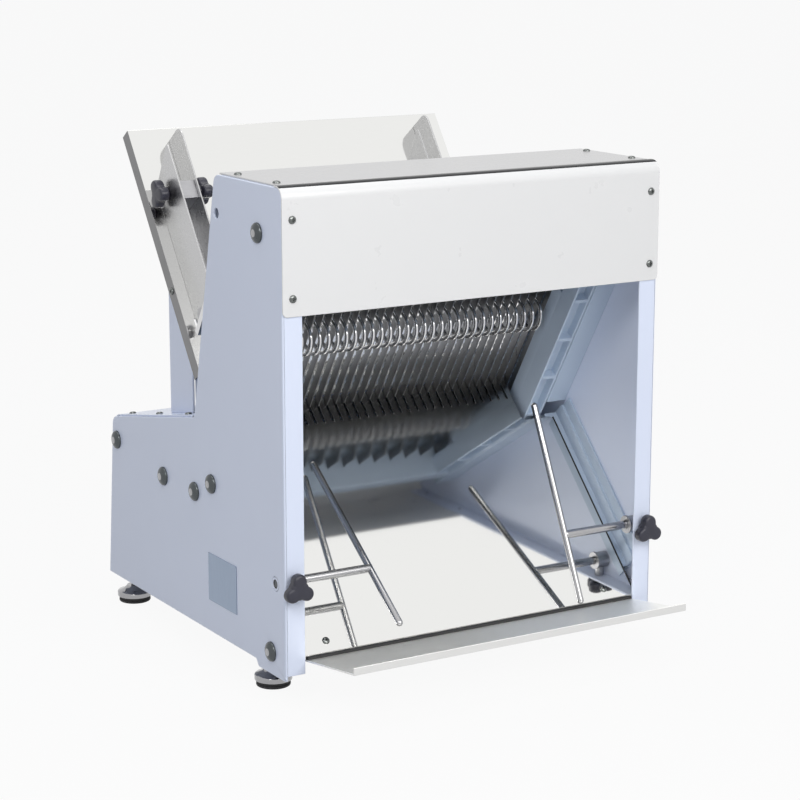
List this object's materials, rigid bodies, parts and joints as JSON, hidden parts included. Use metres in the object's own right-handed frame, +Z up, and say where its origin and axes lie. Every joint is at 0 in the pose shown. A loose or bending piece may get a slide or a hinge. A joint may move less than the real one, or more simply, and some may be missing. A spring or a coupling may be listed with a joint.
{
  "type": "bread slicing machine",
  "caption": "Bench-top bread slicer: painted body, two reciprocating blade frames, sloped infeed tray and mirror slide with T-shaped slice guides.",
  "frame": {"origin": "middle of the overall box on the floor plane, under the rubber feet", "axes": "+Z up, +X to the right seen from the outfeed side, -Y towards the outfeed tray"},
  "size_m": [0.517, 0.587, 0.6072],
  "materials": {
    "panel_paint": "smooth lavender-blue paint",
    "cover_paint": "smooth off-white paint",
    "casting_paint": "light blue paint on castings",
    "polished_steel": "mirror polished stainless",
    "bright_chrome": "bright plated",
    "blade_steel": "dark blade steel",
    "machined_steel": "machined",
    "grey_iron": "dark grey",
    "black_plastic": "satin black",
    "black_rubber": "matt black",
    "green_plastic": "glossy",
    "red_plastic": "glossy"
  },
  "bodies": {
    "body": {"left_side_panel": "panel_paint", "right_side_panel": "panel_paint", "rear_cover": "panel_paint", "back_panel": "panel_paint", "base_plate": "panel_paint", "tray_brackets": "panel_paint", "front_cover": "cover_paint", "top_cover": "cover_paint", "head_rear_panel": "cover_paint", "slide_supports": "casting_paint", "left_guide_rails": "casting_paint", "right_guide_rails": "casting_paint", "infeed_tray": "polished_steel", "slide_plate": "polished_steel", "front_tray": "polished_steel", "upper_comb": "polished_steel", "rating_plate": "polished_steel", "foot_cups": "bright_chrome", "foot_studs": "bright_chrome", "panel_bolts": "bright_chrome", "cover_screws": "bright_chrome", "tie_rods": "machined_steel", "clamp_blocks": "machined_steel", "bearing_blocks": "grey_iron", "motor": "grey_iron", "motor_saddles": "grey_iron", "switch_plate": "black_plastic", "cable_gland": "black_plastic", "foot_pads": "black_rubber", "drive_belt": "black_rubber"},
    "front_slicer": {"front_frame": "casting_paint", "front_blades": "blade_steel", "front_blade_rods": "machined_steel", "front_wrist_pin": "machined_steel"},
    "rear_slicer": {"rear_frame": "casting_paint", "rear_blades": "blade_steel", "rear_blade_rods": "machined_steel", "rear_wrist_pin": "machined_steel"},
    "front_link": {"front_conrod": "machined_steel"},
    "rear_link": {"rear_conrod": "machined_steel"},
    "crank": {"crankshaft": "machined_steel", "driven_pulley": "grey_iron"},
    "rotor": {"motor_pulley": "grey_iron"},
    "bush_left": {"outfeed_bush_left": "polished_steel"},
    "bush_right": {"outfeed_bush_right": "polished_steel"},
    "slice_rod_left": {"outfeed_guide_left": "polished_steel"},
    "slice_rod_right": {"outfeed_guide_right": "polished_steel"},
    "clamp_knob_left": {"outfeed_knob_left": "black_plastic"},
    "clamp_knob_right": {"outfeed_knob_right": "black_plastic"},
    "bread_guide_left": {"infeed_guide_left": "polished_steel", "infeed_clamps_left": "machined_steel"},
    "bread_guide_right": {"infeed_guide_right": "polished_steel", "infeed_clamps_right": "machined_steel"},
    "guide_knob_left_outer": {"infeed_knob_left_outer": "black_plastic"},
    "guide_knob_left_inner": {"infeed_knob_left_inner": "black_plastic"},
    "guide_knob_right_outer": {"infeed_knob_right_outer": "black_plastic"},
    "guide_knob_right_inner": {"infeed_knob_right_inner": "black_plastic"},
    "start": {"start_button": "green_plastic"},
    "stop": {"stop_button": "red_plastic"}
  },
  "joints": [
    {"name": "front_frame_slide", "type": "slide", "parent": "body", "child": "front_slicer", "axis": [0, -0.5299, 0.848], "range_m": [-0.0125, 0.0125]},
    {"name": "rear_frame_slide", "type": "slide", "parent": "body", "child": "rear_slicer", "axis": [0, -0.5299, 0.848], "range_m": [-0.0125, 0.0125]},
    {"name": "front_link_swing", "type": "hinge", "parent": "front_slicer", "child": "front_link", "pos_m": [0.03, 0.09811, 0.15304], "axis": [1, 0, 0], "range_deg": [-9.5, 9.5]},
    {"name": "rear_link_swing", "type": "hinge", "parent": "rear_slicer", "child": "rear_link", "pos_m": [0.066, 0.12185, 0.16788], "axis": [1, 0, 0], "range_deg": [-9.5, 9.5]},
    {"name": "crank_spin", "type": "hinge", "parent": "body", "child": "crank", "pos_m": [0, 0.14972, 0.09686], "axis": [1, 0, 0], "continuous": true},
    {"name": "motor_spin", "type": "hinge", "parent": "body", "child": "rotor", "pos_m": [-0.186, 0.2285, 0.1], "axis": [1, 0, 0], "continuous": true},
    {"name": "slice_rod_turn_left", "type": "hinge", "parent": "body", "child": "bush_left", "pos_m": [-0.24, -0.1635, 0.137], "axis": [1, 0, 0], "range_deg": [-3, 36]},
    {"name": "slice_rod_turn_right", "type": "hinge", "parent": "body", "child": "bush_right", "pos_m": [0.24, -0.1635, 0.137], "axis": [1, 0, 0], "range_deg": [-31, 8]},
    {"name": "slice_rod_slide_left", "type": "slide", "parent": "bush_left", "child": "slice_rod_left", "axis": [1, 0, 0], "range_m": [-0.05, 0.018]},
    {"name": "slice_rod_slide_right", "type": "slide", "parent": "bush_right", "child": "slice_rod_right", "axis": [1, 0, 0], "range_m": [-0.018, 0.038]},
    {"name": "clamp_knob_turn_left", "type": "hinge", "parent": "body", "child": "clamp_knob_left", "pos_m": [-0.241, -0.1865, 0.137], "axis": [0, 1, 0], "continuous": true},
    {"name": "clamp_knob_turn_right", "type": "hinge", "parent": "body", "child": "clamp_knob_right", "pos_m": [0.241, -0.1865, 0.137], "axis": [0, 1, 0], "continuous": true},
    {"name": "bread_guide_slide_left", "type": "slide", "parent": "body", "child": "bread_guide_left", "axis": [1, 0, 0], "range_m": [-0.015, 0.015]},
    {"name": "bread_guide_slide_right", "type": "slide", "parent": "body", "child": "bread_guide_right", "axis": [1, 0, 0], "range_m": [-0.015, 0.015]},
    {"name": "guide_knob_turn_left_outer", "type": "hinge", "parent": "bread_guide_left", "child": "guide_knob_left_outer", "pos_m": [-0.209, 0.18762, 0.53406], "axis": [1, 0, 0], "continuous": true},
    {"name": "guide_knob_turn_left_inner", "type": "hinge", "parent": "bread_guide_left", "child": "guide_knob_left_inner", "pos_m": [-0.171, 0.18762, 0.53406], "axis": [1, 0, 0], "continuous": true},
    {"name": "guide_knob_turn_right_outer", "type": "hinge", "parent": "bread_guide_right", "child": "guide_knob_right_outer", "pos_m": [0.147, 0.18762, 0.53406], "axis": [1, 0, 0], "continuous": true},
    {"name": "guide_knob_turn_right_inner", "type": "hinge", "parent": "bread_guide_right", "child": "guide_knob_right_inner", "pos_m": [0.185, 0.18762, 0.53406], "axis": [1, 0, 0], "continuous": true},
    {"name": "start_press", "type": "slide", "parent": "body", "child": "start", "axis": [0, -0.9945, -0.1047], "range_m": [0, 0.004], "stiffness_N_per_m": 250},
    {"name": "stop_press", "type": "slide", "parent": "body", "child": "stop", "axis": [0, -0.9945, -0.1047], "range_m": [0, 0.004], "stiffness_N_per_m": 250}
  ],
  "couplings": [
    {"joint": "rear_frame_slide", "follows": "front_frame_slide", "ratio": -1},
    {"joint": "motor_spin", "follows": "crank_spin", "ratio": 2.3462}
  ]
}
